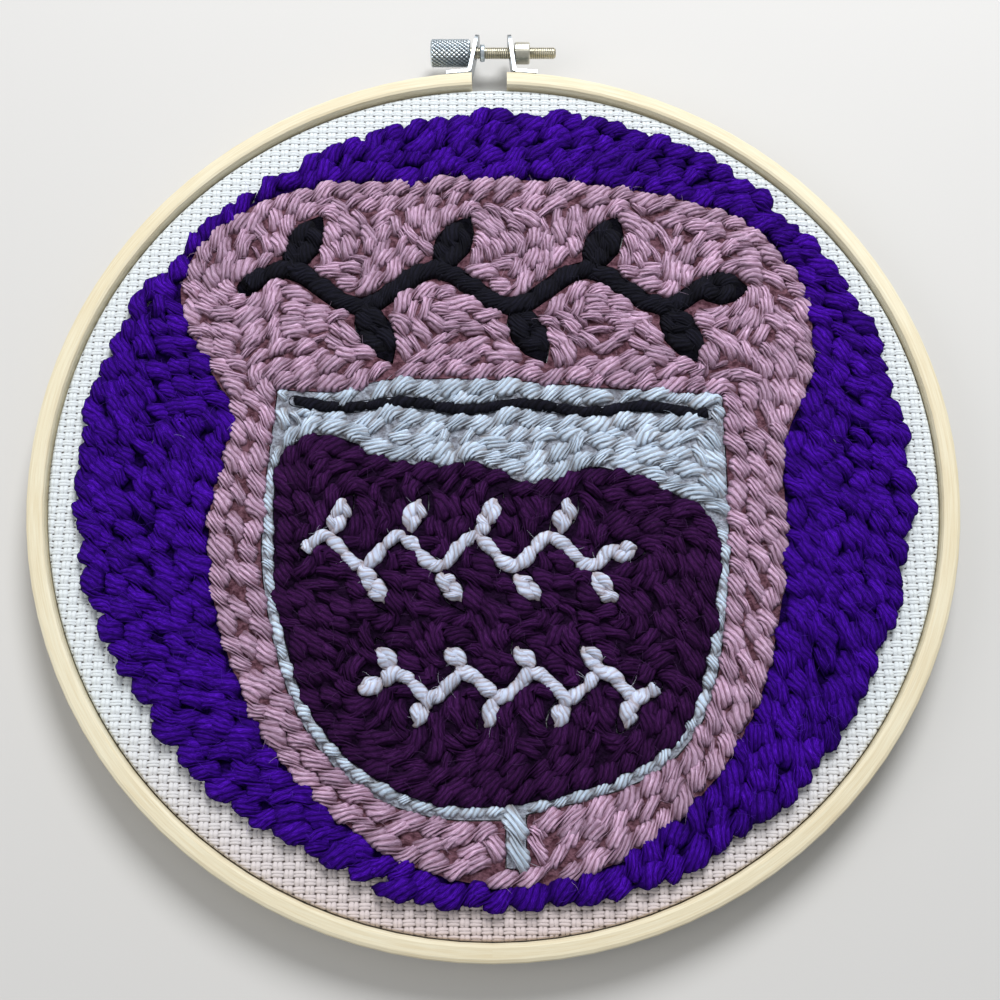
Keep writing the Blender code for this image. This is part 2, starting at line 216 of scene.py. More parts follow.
# Short rows laid along their neighbours wherever a spot is further than gap from any row.
def fillRows(loops, rows, gap, room, apart, half=3.6, circling=False):
    allEdges = np.concatenate([evenly(loop, 0.5) for loop in loops])
    taken = np.concatenate(rows)
    headings = np.concatenate([np.gradient(row, axis=0) for row in rows])
    low, high = allEdges.min(axis=0), allEdges.max(axis=0)
    x, y = np.meshgrid(np.arange(low[0], high[0], 0.8), np.arange(low[1], high[1], 0.8))
    spots = np.stack([x.ravel(), y.ravel()], axis=1)
    spots = spots[inside(spots, loops)]
    spots = spots[nearest(spots, allEdges)[0] > room]
    away, found = nearest(spots, taken)[0], []
    for _ in range(400):
        pick = int(away.argmax())
        if away[pick] < gap:
            break
        spot = spots[pick]
        heading = np.array([-spot[1], spot[0]]) if circling else headings[nearest(spot[None], taken)[1][0]]
        heading = heading / max(np.linalg.norm(heading), 1e-9)
        line = spot + np.arange(-half, half + 0.01, 0.4)[:, None] * heading
        free = (nearest(line, allEdges)[0] > room * 0.8) & inside(line, loops)
        free &= nearest(line, taken)[0] > apart
        a = b = len(line) // 2
        while a > 0 and free[a - 1]:
            a -= 1
        while b < len(line) - 1 and free[b + 1]:
            b += 1
        line = line[a:b + 1]
        if len(line) < 8:
            line = spot + np.linspace(-1.4, 1.4, 8)[:, None] * heading
            if not inside(line, loops).all() or nearest(line, allEdges)[0].min() < 0.5 * room:
                away = np.minimum(away, nearest(spots, line)[0])
                continue
        found.append(line)
        taken = np.concatenate([taken, line])
        headings = np.concatenate([headings, np.repeat(heading[None], len(line), axis=0)])
        away = np.minimum(away, nearest(spots, line)[0])
    return found


# Uneven yarn: for each axis, five sines of the place across the piece, added up.
lumpWaves = 2 * math.pi / chance.uniform(2.0, 5.0, (3, 5))
lumpTurns = chance.uniform(0, 2 * math.pi, (3, 5))
lumpStarts = chance.uniform(0, 2 * math.pi, (3, 5))


def lumps(x, y, amount):
    moves = []
    for waves, turns, starts in zip(lumpWaves, lumpTurns, lumpStarts):
        total = sum(
            np.sin(wave * (x * math.cos(turn) + y * math.sin(turn)) + begin)
            for wave, turn, begin in zip(waves, turns, starts)
        )
        moves.append(total * amount / 2.2)
    return moves


# A row is one tube carried along its path. Each ring leans across the path the way the
# plies of twisted yarn do, and swells with each ply. Each stitch is a barrel, pinched and
# low where the needle goes down: half width = wide * (pinch + (1 - pinch) * sin(pi * u) ** swell).
def rowTube(path, make, share=1.0):
    reach = np.concatenate([[0], np.cumsum(np.linalg.norm(np.diff(path, axis=0), axis=1))])
    total = reach[-1]
    tangent = np.gradient(path, axis=0)
    tangent /= np.maximum(np.linalg.norm(tangent, axis=1), 1e-9)[:, None]
    count = max(1, int(round(total / make["stitch"])))
    ends = np.linspace(0, total, count + 1)
    ends[1:-1] += chance.uniform(-0.24, 0.24, count - 1) * make["stitch"]
    samples, around = make["samples"], make["around"]
    perStitch = make["plies"] * samples
    k = np.arange(count * perStitch + 1)
    ring = np.minimum(k // perStitch, count - 1)
    way = (k - ring * perStitch) / perStitch
    at = ends[ring] + (ends[ring + 1] - ends[ring]) * way
    ply = np.sin(math.pi * (k % samples) / samples) ** make["crest"]
    leans = make["lean"] * chance.uniform(0.65, 1.3, count + 1)
    lean = leans[ring] + (leans[ring + 1] - leans[ring]) * way
    angle = np.linspace(-math.pi / 2, 1.5 * math.pi, around + 1)[:-1]
    c, s = np.cos(angle), np.sin(angle)
    c = np.sign(c) * np.abs(c) ** 0.85
    s = np.sign(s) * np.abs(s) ** 0.9
    # The plies lean fully, the stitch's own outline less.
    leaning = make["wide"] / 2 * share * c[None] * lean[:, None]
    leanAt = np.clip(at[:, None] + leaning, -1.5, total + 1.5)
    stitchAt = np.clip(at[:, None] + leaning * make["upright"], 0, total)
    which = np.searchsorted(ends, stitchAt.ravel(), side="right") - 1
    which = np.clip(which, 0, count - 1).reshape(stitchAt.shape)
    u = (stitchAt - ends[which]) / (ends[which + 1] - ends[which])
    env = np.clip(np.sin(math.pi * np.clip(u, 0, 1)), 0, 1) ** make["swell"]
    env = env * np.clip(np.minimum(at, total - at) / (0.3 * make["stitch"]), 0, 1)[:, None] ** 0.5
    wideBy = chance.uniform(0.84, 1.12, count)[which]
    holes = chance.uniform(-1, 1, count + 1) * make["stray"]
    aside = holes[which] + (holes[which + 1] - holes[which]) * u
    lift = chance.uniform(-0.9, 0.1, count)[which]
    tone = chance.uniform(0, 1, count)[which]
    wide = make["wide"] / 2 * share * (make["pinch"] + (1 - make["pinch"]) * env * wideBy)
    high = make["high"] / 2 * (0.5 + 0.5 * env)
    level = make["low"] + (make["top"] - make["high"] / 2 - make["low"]) * env ** 0.8 + lift * env
    # The plies stand out on the crown and fade towards the sides.
    showing = 0.3 + 0.7 * np.clip(s, 0, 1)[None]
    size = 1 - make["groove"] * (1 - ply)[:, None] * showing
    out = wide * size * c[None]
    inAt = np.clip(leanAt, 0, total)
    over = leanAt - inAt
    px, py = np.interp(inAt, reach, path[:, 0]), np.interp(inAt, reach, path[:, 1])
    tx, ty = np.interp(inAt, reach, tangent[:, 0]), np.interp(inAt, reach, tangent[:, 1])
    side = out + aside
    x = px + over * tx - side * ty
    y = py + over * ty + side * tx
    z = level + high * (0.2 + 0.8 * size) * s[None]
    moves = lumps(x, y, make["lumpy"])
    x, y, z = x + moves[0], y + moves[1], z + moves[2] * env
    z = np.minimum(z, make["top"])
    points = np.stack([x, y, z], axis=-1).reshape(-1, 3)
    girth = np.linspace(0, make["wide"] * 2.4, around)
    uv = np.stack([np.broadcast_to(girth, x.shape), np.broadcast_to(at[:, None], x.shape)], axis=-1).reshape(-1, 2)
    # How much of the body colour shows: low where painted shade darkens the grooves between plies, the pinched ends
    # and the under side.
    depth = (0.22 + 0.78 * ply)[:, None] * (0.12 + 0.88 * env ** 1.4)
    creaseShade = depth * (0.4 + 0.6 * np.clip(s, 0, 1))[None]
    quads = ringQuads(len(k), around)
    first = np.arange(around)[::-1][None]
    last = np.arange(around)[None] + (len(k) - 1) * around
    return points, quads, np.concatenate([first, last]), uv, creaseShade.ravel(), tone.ravel()


# All the rows of one yarn joined into a piece. A row on the back is mirrored in the
# cloth's under side, z -> 2 * under - z, and its faces are turned round.
def stitchPiece(name, rows, make, nodeName, material, behind=False):
    parts, start = [], 0
    order = -1 if behind else 1
    for row, share in rows:
        points, quads, caps, uv, creaseShade, tone = rowTube(row, make, share)
        if behind:
            points[:, 2] = 2 * clothUnder - points[:, 2]
        quads, caps = quads[:, ::order] + start, caps[:, ::order] + start
        parts.append((points, quads, caps, uv + chance.uniform(0, 90, 2), creaseShade, tone))
        start += len(points)
    points, quads, caps, uv, creaseShade, tone = [np.concatenate(part) for part in zip(*parts)]
    piece = makePiece(name, points, quads, [caps], uv, {"creaseShade": creaseShade, "tone": tone})
    piece.data.materials.append(material)
    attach(piece, "hoop")
    if nodeName:
        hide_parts(nodeName)
    print(f"stage: {name}, {len(rows)} rows, {len(quads) * 2} triangles")
    return piece


# The low bed under the stitches: the outline filled with triangles, level, with a wall
# down to the cloth. Its outer edge is drawn in by shrink, its inner edges by tuck, so
# that they pass under the neighbour.
def yarnBed(name, loops, level, material, shrink, tuck):
    outerFrom = 88    # an edge further out than this is the outer one
    rings = [evenly(loop, 0.9) for loop in loops]
    rings = [ring * np.where(np.hypot(ring[:, :1], ring[:, 1:]) > outerFrom, shrink, tuck) for ring in rings]
    flat, edges = np.concatenate(rings), []
    for ring in rings:
        j = np.arange(len(ring)) + sum(len(e) for e in edges)
        edges.append(np.stack([j, np.roll(j, -1)], axis=1))
    found, _, faces = delaunay_2d_cdt(flat.tolist(), np.concatenate(edges).tolist(), [], 0, 0.001)[:3]
    found, faces = np.array([tuple(point) for point in found]), np.array(faces)
    faces = faces[inside(found[faces].mean(axis=1), rings)]
    a, b, c = found[faces[:, 0]], found[faces[:, 1]], found[faces[:, 2]]
    turned = (b[:, 0] - a[:, 0]) * (c[:, 1] - a[:, 1]) - (b[:, 1] - a[:, 1]) * (c[:, 0] - a[:, 0]) < 0
    faces[turned] = faces[turned][:, ::-1]
    count = len(found)
    rim = np.concatenate([faces[:, [0, 1]], faces[:, [1, 2]], faces[:, [2, 0]]])
    rim = rim[~np.isin(rim[:, 0] * count + rim[:, 1], rim[:, 1] * count + rim[:, 0])]
    walls = np.stack([rim[:, 1], rim[:, 0], rim[:, 0] + count, rim[:, 1] + count], axis=1)
    upper = np.concatenate([found, np.full((count, 1), level)], axis=1)
    lower = np.concatenate([found, np.full((count, 1), clothTop + 0.05)], axis=1)
    piece = makePiece(name, np.concatenate([upper, lower]), walls, [faces, faces[:, ::-1] + count], smooth=False)
    piece.data.materials.append(material)
    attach(piece, "hoop")


# A shader node with its inputs set, or linked where the value is a socket.
def addNode(tree, kind, inputs=None, **settings):
    made = tree.nodes.new(kind)
    for key, value in settings.items():
        setattr(made, key, value)
    for key, value in (inputs or {}).items():
        if isinstance(value, bpy.types.NodeSocket):
            tree.links.new(value, made.inputs[key])
        else:
            made.inputs[key].default_value = value
    return made


# One sum in a shader.
def doMath(tree, operation, a, b=0.0, c=0.0, clamp=False):
    return addNode(tree, "ShaderNodeMath", {0: a, 1: b, 2: c}, operation=operation, use_clamp=clamp).outputs[0]


# Two colours mixed by a share.
def mixColour(tree, share, a, b, blend="MIX"):
    made = addNode(tree, "ShaderNodeMix", {0: share, 6: a, 7: b}, data_type="RGBA", blend_type=blend)
    return made.outputs[2]


# An empty node group with named inputs and outputs.
def newGroup(name, inputs, outputs):
    tree = bpy.data.node_groups.new(name, "ShaderNodeTree")
    for label, kind, value in inputs:
        socket = tree.interface.new_socket(name=label, in_out="INPUT", socket_type=kind)
        socket.default_value = value
    for label, kind in outputs:
        tree.interface.new_socket(name=label, in_out="OUTPUT", socket_type=kind)
    return tree, tree.nodes.new("NodeGroupInput"), tree.nodes.new("NodeGroupOutput")


# A material with its plain values on the shader's own sockets.
def newMaterial(name, roughness, metallic=0.0, specular=0.5):
    made = bpy.data.materials.new(name)
    made.use_nodes = True
    shader = made.node_tree.nodes["Principled BSDF"]
    shader.inputs["Roughness"].default_value = roughness
    shader.inputs["Metallic"].default_value = metallic
    shader.inputs["Specular IOR Level"].default_value = specular
    return made, made.node_tree, shader


# A node group placed in a material with this material's values.
def placeGroup(tree, group, **values):
    made = tree.nodes.new("ShaderNodeGroup")
    made.node_tree = group
    for key, value in values.items():
        made.inputs[key].default_value = value
    return made


# Colour and relief of spun yarn: painted shade in the grooves between plies, at the pinched
# ends and on the under side; paler fibres streak the crown, with a painted highlight there.
yarnGroup, gIn, gOut = newGroup(
    "spunYarn",
    [
        ("Body", "NodeSocketColor", (0.5, 0.5, 0.5, 1)),
        ("Crease", "NodeSocketColor", (0.1, 0.1, 0.1, 1)),
        ("Crown", "NodeSocketColor", (0.8, 0.8, 0.8, 1)),
        ("Fibre", "NodeSocketFloat", 2.6),
        ("Spread", "NodeSocketFloat", 0.3),
    ],
    [("Color", "NodeSocketColor"), ("Height", "NodeSocketFloat")],
)
g = yarnGroup
lay = addNode(g, "ShaderNodeUVMap", uv_map="lay").outputs[0]
creaseShadeValue = addNode(g, "ShaderNodeAttribute", attribute_name="creaseShade").outputs["Fac"]
toneValue = addNode(g, "ShaderNodeAttribute", attribute_name="tone").outputs["Fac"]
stretched = addNode(g, "ShaderNodeMapping", {"Vector": lay, "Scale": (0.30, 2.2, 1.0)}).outputs[0]
fibres = addNode(
    g, "ShaderNodeTexNoise", {"Vector": stretched, "Scale": gIn.outputs["Fibre"], "Detail": 3.0, "Roughness": 0.6}
).outputs["Fac"]
fine = addNode(g, "ShaderNodeMapping", {"Vector": lay, "Scale": (0.9, 5.0, 1.0)}).outputs[0]
fineFibres = addNode(
    g, "ShaderNodeTexNoise", {"Vector": fine, "Scale": gIn.outputs["Fibre"], "Detail": 2.0, "Roughness": 0.7}
).outputs["Fac"]
# Painted shade: the crease colour takes over in the grooves, at the pinched ends and on the under side.
shaded = doMath(g, "MULTIPLY", creaseShadeValue, 1.12, clamp=True)
body = mixColour(g, shaded, gIn.outputs["Crease"], gIn.outputs["Body"])
# Painted highlight on the crown: paler fibre streaks and small glinting flecks, faded where the crease shade is
# painted.
streakHighlight = doMath(g, "MULTIPLY_ADD", fibres, 3.6, -1.5, clamp=True)
fleckGlint = doMath(g, "MULTIPLY_ADD", fineFibres, 5.0, -2.75, clamp=True)
streakHighlight = doMath(g, "MAXIMUM", streakHighlight, doMath(g, "MULTIPLY", fleckGlint, 0.75))
streakHighlight = doMath(g, "MULTIPLY", streakHighlight, creaseShadeValue, clamp=True)
lit = mixColour(g, streakHighlight, body, gIn.outputs["Crown"])
bright = doMath(g, "MULTIPLY", gIn.outputs["Spread"], doMath(g, "SUBTRACT", toneValue, 0.5))
cloudy = addNode(g, "ShaderNodeTexNoise", {"Vector": lay, "Scale": 0.34, "Detail": 2.0}).outputs["Fac"]
bright = doMath(g, "ADD", bright, doMath(g, "MULTIPLY_ADD", cloudy, 0.7, 0.65))
toned = addNode(g, "ShaderNodeVectorMath", {0: lit, "Scale": bright}, operation="SCALE").outputs[0]
g.links.new(toned, gOut.inputs["Color"])
height = doMath(g, "ADD", doMath(g, "MULTIPLY", fibres, 0.7), doMath(g, "MULTIPLY", fineFibres, 0.35))
g.links.new(height, gOut.inputs["Height"])


# The yarn's own material: the spun look, its relief and a soft sheen of the crown's colour.
def yarnMaterial(name, body, creaseShade, crownFibreAndHighlight, fibre=2.6, spread=0.3, sheen=0.25, relief=0.0006, shine=0.16):
    made, tree, shader = newMaterial(name, 0.85, specular=shine)
    look = placeGroup(
        tree, yarnGroup, Body=(*body, 1), Crease=(*creaseShade, 1), Crown=(*crownFibreAndHighlight, 1), Fibre=fibre, Spread=spread
    )
    bump = addNode(tree, "ShaderNodeBump", {"Height": look.outputs["Height"], "Strength": 0.8, "Distance": relief})
    tree.links.new(look.outputs["Color"], shader.inputs["Base Color"])
    tree.links.new(bump.outputs[0], shader.inputs["Normal"])
    shader.inputs["Sheen Weight"].default_value = sheen
    shader.inputs["Sheen Roughness"].default_value = 0.45
    shader.inputs["Sheen Tint"].default_value = (*crownFibreAndHighlight, 1)
    return made


# sRGB numbers from 0 to 255 as linear colour.
def shade(red, green, blue):
    value = np.array([red, green, blue]) / 255
    return tuple(np.where(value <= 0.04045, value / 12.92, ((value + 0.055) / 1.055) ** 2.4))


# The camera, the floor and the light.
camera = bpy.data.objects.new("camera", bpy.data.cameras.new("camera"))
scene.collection.objects.link(camera)
camera.data.lens = 46.64
camera.data.sensor_width = 36.0
camera.data.clip_start = 0.01
camera.location = (0.001544, -0.101317, 0.29659)
aim = Vector((0.001544, -0.013588, 0.0116)) - camera.location
camera.rotation_euler = aim.to_track_quat("-Z", "Y").to_euler()
scene.camera = camera
scene.view_settings.view_transform = "Standard"

floorMesh = bpy.data.meshes.new("floor")
floorMesh.from_pydata([(-3, -3, 0), (3, -3, 0), (3, 3, 0), (-3, 3, 0)], [], [(0, 1, 2, 3)])
floor = bpy.data.objects.new("floor", floorMesh)
scene.collection.objects.link(floor)
floorMaterial, tree, shader = newMaterial("floorPaint", 0.9, specular=0.2)
shader.inputs["Base Color"].default_value = (0.62, 0.61, 0.59, 1)
floorMesh.materials.append(floorMaterial)

world = bpy.data.worlds.new("studio")
world.use_nodes = True
world.node_tree.nodes["Background"].inputs[0].default_value = (0.93, 0.96, 1.0, 1)
world.node_tree.nodes["Background"].inputs[1].default_value = 0.42
scene.world = world


# A round soft light at a place, turned to face its target.
def areaLight(name, place, target, size, power, colour):
    lamp = bpy.data.lights.new(name, "AREA")
    lamp.shape = "DISK"
    lamp.size = size
    lamp.energy = power
    lamp.color = colour
    made = bpy.data.objects.new(name, lamp)
    made.location = place
    made.rotation_euler = (Vector(target) - Vector(place)).to_track_quat("-Z", "Y").to_euler()
    scene.collection.objects.link(made)


areaLight("windowLight", (0.13, 0.52, 0.66), (0, 0, 0), 0.38, 7.2, (0.97, 0.98, 1.0))
areaLight("sideFill", (-0.8, -0.2, 0.7), (0, 0, 0), 0.7, 2.4, (1.0, 0.96, 0.92))
print("stage: camera and light")

# Each yarn: its body colour, its painted crease shade, and its crown's paler fibres and painted highlight.
yarns = {
    "purple": yarnMaterial(
        "purpleYarn", shade(45, 0, 118), shade(20, 0, 60), shade(98, 30, 212),
        sheen=0.03, spread=0.5, fibre=3.4, shine=0.06,
    ),
    "mauve": yarnMaterial(
        "mauveYarn", shade(190, 150, 180), shade(84, 46, 52), shade(250, 220, 248), sheen=0.15, spread=0.34
    ),
    "pale": yarnMaterial("paleYarn", shade(206, 228, 254), shade(122, 108, 100), shade(232, 246, 255), sheen=0.15),
    "plum": yarnMaterial(
        "plumYarn", shade(45, 11, 55), shade(19, 4, 26), shade(86, 40, 102),
        sheen=0.03, spread=0.4, fibre=3.4, shine=0.06,
    ),
    "white": yarnMaterial(
        "whiteYarn", shade(206, 220, 252), shade(168, 146, 140), shade(236, 244, 255), spread=0.15, sheen=0.12
    ),
    "black": yarnMaterial("blackYarn", shade(12, 11, 22), shade(3, 3, 6), shade(34, 34, 52), sheen=0.0),
}

pile = {
    "wide": 5.2,             # stitch width
    "high": 3.0,             # stitch thickness
    "stitch": 5.7,           # stitch length
    "low": clothTop + 0.9,   # where a stitch goes down into the cloth
    "top": pileTop,
    "pinch": 0.44,           # share of the width that is left at a stitch's ends
    "swell": 0.5,            # how soon it reaches its full width
    "plies": 4,
    "samples": 5,            # rings for each ply
    "around": 8,             # points round each ring
    "groove": 0.40,          # how deep it is cut between two plies
    "crest": 0.95,           # how narrow the crown of a ply is
    "lean": 0.95,            # how far a ply runs along the row for each mm across it
    "upright": 0.7,          # share of that lean that the stitch's own outline follows
    "stray": 0.7,            # how far the holes stand off the row
    "wander": 0.45,          # how far the row itself sways
    "lumpy": 0.16,
}


# The same values with some changed.
def withValues(base, **changes):
    return {**base, **changes}


# Gives a row the slow wander of a hand-held needle: a few sines of the length along it.
def wander(path, amount):
    reach = np.concatenate([[0], np.cumsum(np.linalg.norm(np.diff(path, axis=0), axis=1))])
    tangent = np.gradient(path, axis=0)
    tangent /= np.maximum(np.linalg.norm(tangent, axis=1), 1e-9)[:, None]
    turns = chance.uniform(0, 2 * math.pi, 3)
    sway = sum(np.sin(reach * 2 * math.pi / wave + turn) for wave, turn in zip((9.0, 14.0, 23.0), turns)) / 2
    return path + np.stack([-tangent[:, 1], tangent[:, 0]], axis=1) * (sway * amount)[:, None]


# Each patch of yarn: its piece, node, slot and yarn, the gap between two rows, how far the
# first lies from the edge, and what its stitches change.
sprigStitch = dict(wide=3.4, stitch=5.0, samples=4, groove=0.15, lean=0.7, wander=0.0, stray=0.25)
regions = [
    ("purpleStitches", "purple_ground", "purple_yarn", "purple", 4.3, 1.6, dict(
        crest=0.7, samples=4, wide=5.9, stitch=5.8, groove=0.20, stray=1.0, wander=0.7, lean=0.8, swell=0.45,
        lumpy=0.24, pinch=0.45,
    )),
    ("mauveStitches", "mauve_surround", "mauve_yarn", "mauve", 4.2, 2.1, {}),
    ("paleStitches", "pale_glass", "pale_yarn", "pale", 4.0, 2.0, {}),
    ("plumStitches", "plum_wine", "plum_yarn", "plum", 3.8, 1.9, dict(
        crest=0.7, wide=4.9, stitch=5.6, groove=0.22, samples=4, stray=0.8, lumpy=0.2,
    )),
    ("garlandStitches", "black_garland", "garland_yarn", "black", 3.9, 2.05, dict(
        wide=4.9, stitch=6.4, plies=5, samples=4, groove=0.26, wander=0.0, stray=0.3, pinch=0.6,
    )),
    ("upperSprigStitches", "white_sprig_upper", "upper_sprig_yarn", "white", 2.5, 1.35, sprigStitch),
    ("lowerSprigStitches", "white_sprig_lower", "lower_sprig_yarn", "white", 2.5, 1.35, sprigStitch),
    ("rimStitches", "black_rim_line", "rim_yarn", "black", 2.3, 1.15, dict(
        wide=2.9, high=2.6, stitch=5.6, samples=4, pinch=0.6, lean=0.7, wander=0.0, stray=0.15,
    )),
]

# Two rows given one by one: one down the stem of the glass, a straight line, and one that
# passes under its foot, a line that sags by underSag * sin(pi * way).
stem = {
    "long": 13.6,
    "past": 0.9,        # how far the row runs past the foot
    "share": 1.16,      # its width, as a share of a stitch's
    "under": 1.9,       # how far below the foot the second row passes
    "underHalf": 6.4,   # half its length
    "underSag": 0.5,
    "underShare": 0.86,
}
glass = np.concatenate(topOutlines("pale_glass"))
foot = glass[glass[:, 1] < glass[:, 1].min() + 0.8].mean(axis=0)
along = np.linspace(0, 1, 30)[:, None]
down, across = np.array([0.0, -1.0]), np.array([1.0, 0.0])
stemRow = foot + down * (stem["past"] - along * stem["long"])
underRow = foot + down * (stem["under"] + stem["underSag"] * np.sin(math.pi * along))
underRow = underRow + across * stem["underHalf"] * (2 * along - 1)
byHand = {"pale_glass": [(stemRow, stem["share"])], "mauve_surround": [(underRow, stem["underShare"])]}
print(f"stage: foot of the stem at {foot.round(1)}")

# The glass has a thin outline of its own and plain rows. The others have thin rows along
# the edge, and the purple ground's outer edge is ragged, so it has three depths of them.
stitched, laidRows, outlines = {}, {}, {}
for pieceName, nodeName, slotName, yarn, pitch, first, changes in regions:
    loops = outlines[nodeName] = topOutlines(nodeName)
    make = withValues(pile, **changes)
    own = byHand.get(nodeName, [])
    ownRows = [row for row, share in own]
    rows = rowsInside(loops, first + pitch * np.arange(40), 0.64 * pitch, already=ownRows)
    laid = rows + ownRows
    if nodeName == "pale_glass":
        outline = [(row, 1.0) for row in rowsInside(loops, [0.95], 1.9, slack=0.45, already=laid)]
        thread = withValues(
            pile, wide=2.7, high=2.6, stitch=5.0, samples=4, pinch=0.3, lean=0.8, stray=0.2, top=pileTop - 0.4
        )
        stitchPiece("paleOutline", outline, thread, None, yarns[yarn])
        thin, thinShare = [], 1.0
        filled = fillRows(loops, laid, 0.50 * pitch, 0.26 * pitch, 0.34 * pitch)
    else:
        ragged = yarn == "purple"
        edging = [first * 0.55, first * 0.3, first * 0.12] if ragged else [first * 0.55]
        apart, shortest, thinShare = (0.35 * pitch, 9.0, 0.95) if ragged else (0.45 * pitch, 3.2, 0.66)
        thin = rowsInside(loops, edging, apart, slack=0.5, shortest=shortest, already=laid)
        filled = fillRows(loops, laid + thin, 0.47 * pitch, 0.24 * pitch, 0.30 * pitch, circling=ragged)
    sewn = [(wander(row, make["wander"]), 1.0) for row in rows]
    sewn += [(row, thinShare) for row in thin] + [(row, 0.95) for row in filled] + own
    laidRows[pieceName] = sewn
    stitched[pieceName] = stitchPiece(pieceName, sewn, make, nodeName, yarns[yarn])

# The back of the cloth: the same rows seen from behind, as low, short loops.
backMake = withValues(
    pile, wide=5.2, high=2.0, stitch=4.3, plies=3, samples=2, around=5, low=clothUnder + 0.1, top=clothUnder + 1.5,
    groove=0.22, pinch=0.55, lean=0.5, stray=0.5,
)
for pieceName, nodeName, slotName, yarn, *_ in regions:
    backName = pieceName.replace("Stitches", "Back")
    stitchPiece(backName, laidRows[pieceName], backMake, None, yarns[yarn], behind=True)


# What lies deep between the stitches: matted yarn, rough, in dark colours that are painted shade.
def shadeBeddingMaterial(name, deepShade, raisedShade):
    made, tree, shader = newMaterial(name, 0.95, specular=0.05)
    where = addNode(tree, "ShaderNodeTexCoord").outputs["Object"]
    matted = addNode(tree, "ShaderNodeTexNoise", {"Vector": where, "Scale": 900.0, "Detail": 3.0}).outputs["Fac"]
    share = doMath(tree, "MULTIPLY_ADD", matted, 3.0, -1.1, clamp=True)
    tree.links.new(mixColour(tree, share, (*deepShade, 1), (*raisedShade, 1)), shader.inputs["Base Color"])
    bump = addNode(tree, "ShaderNodeBump", {"Height": matted, "Strength": 1.0, "Distance": 0.0012})
    tree.links.new(bump.outputs[0], shader.inputs["Normal"])
    return made


# The beds' colours: painted shade, darker than each yarn's own body.
shadeBedding = {
    "purple": shadeBeddingMaterial("purpleShadeBedding", shade(14, 0, 44), shade(30, 4, 78)),
    "mauve": shadeBeddingMaterial("mauveShadeBedding", shade(70, 42, 50), shade(122, 86, 98)),
    "pale": shadeBeddingMaterial("paleShadeBedding", shade(112, 112, 120), shade(166, 174, 188)),
    "plum": shadeBeddingMaterial("plumShadeBedding", shade(16, 5, 22), shade(34, 14, 42)),
    "black": shadeBeddingMaterial("blackShadeBedding", shade(5, 5, 9), shade(16, 15, 24)),
}
for pieceName, nodeName, slotName, yarn in [
    ("purpleBed", "purple_ground", "purple_yarn", "purple"),
    ("mauveBed", "mauve_surround", "mauve_yarn", "mauve"),
    ("paleBed", "pale_glass", "pale_yarn", "pale"),
    ("plumBed", "plum_wine", "plum_yarn", "plum"),
    ("garlandBed", "black_garland", "garland_yarn", "black"),
    ("upperSprigBed", "white_sprig_upper", "plum_yarn", "plum"),
    ("lowerSprigBed", "white_sprig_lower", "plum_yarn", "plum"),
    ("rimBed", "black_rim_line", "pale_yarn", "pale"),
]:
    level, shrink, tuck = (1.2, 0.976, 0.988) if yarn == "purple" else (1.8, 1.0, 1.0)
    yarnBed(pieceName, outlines[nodeName], clothTop + level, shadeBedding[yarn], shrink, tuck)


# Loose fibres: hairs that leave a stitch and come back, each a three-sided tube that
# narrows to its tip. Its bearing turns by curl * way, and it rises by lift * sin(pi * way).
def looseFibres(name, stitches, count, material, longest=3.6, thick=0.035):
    mesh = stitches.data
    points = np.empty(len(mesh.vertices) * 3, np.float32)
    mesh.vertices.foreach_get("co", points)
    points = points.reshape(-1, 3) * 1000.0 - hoopCentre
    upper = points[points[:, 2] > pileTop - 1.6]
    start = upper[chance.integers(0, len(upper), count)]
    turn = chance.uniform(0, 2 * math.pi, count)
    long = chance.uniform(0.8, longest, count)
    rings, sides = 5, 3
    way = np.linspace(0, 1, rings)
    curl = chance.uniform(-0.9, 0.9, count)
    bearing = turn[:, None] + curl[:, None] * way[None]
    step = long[:, None] / (rings - 1)
    x = start[:, :1] + np.cumsum(np.cos(bearing) * step, axis=1) - np.cos(bearing[:, :1]) * step
    y = start[:, 1:2] + np.cumsum(np.sin(bearing) * step, axis=1) - np.sin(bearing[:, :1]) * step
    lift = chance.uniform(0.1, 0.55, count)
    z = start[:, 2:3] - 0.05 + lift[:, None] * np.sin(math.pi * way)[None]
    z = np.minimum(z, pileTop + 0.35)
    side = np.stack([-np.sin(bearing), np.cos(bearing), np.zeros_like(bearing)], axis=-1)
    angle = np.linspace(0, 2 * math.pi, sides + 1)[:-1]
    taper = thick * (1 - 0.6 * way)[None, :, None, None]
    centre = np.stack([x, y, z], axis=-1)
    ring = side[:, :, None, :] * np.cos(angle)[None, None, :, None]
    ring = ring + np.array([0, 0, 1.0])[None, None, None] * np.sin(angle)[None, None, :, None]
    hair = (centre[:, :, None, :] + ring * taper).reshape(-1, 3)
    first = (np.arange(count) * rings * sides)[:, None, None]
    quads = (ringQuads(rings, sides)[None] + first).reshape(-1, 4)
    caps = (np.array([[2, 1, 0], [12, 13, 14]])[None] + first).reshape(-1, 3)
    piece = makePiece(name, hair, quads, [caps])
    piece.data.materials.append(material)
    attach(piece, "hoop")


# A hair's colour, a little darker in places along it.
def fibreMaterial(name, colour):
    made, tree, shader = newMaterial(name, 0.7, specular=0.2)
    where = addNode(tree, "ShaderNodeTexCoord").outputs["Object"]
    along = addNode(tree, "ShaderNodeTexNoise", {"Vector": where, "Scale": 260.0, "Detail": 1.0}).outputs["Fac"]
    dim = tuple(0.6 * c for c in colour)
    tree.links.new(mixColour(tree, along, (*dim, 1), (*colour, 1)), shader.inputs["Base Color"])
    return made


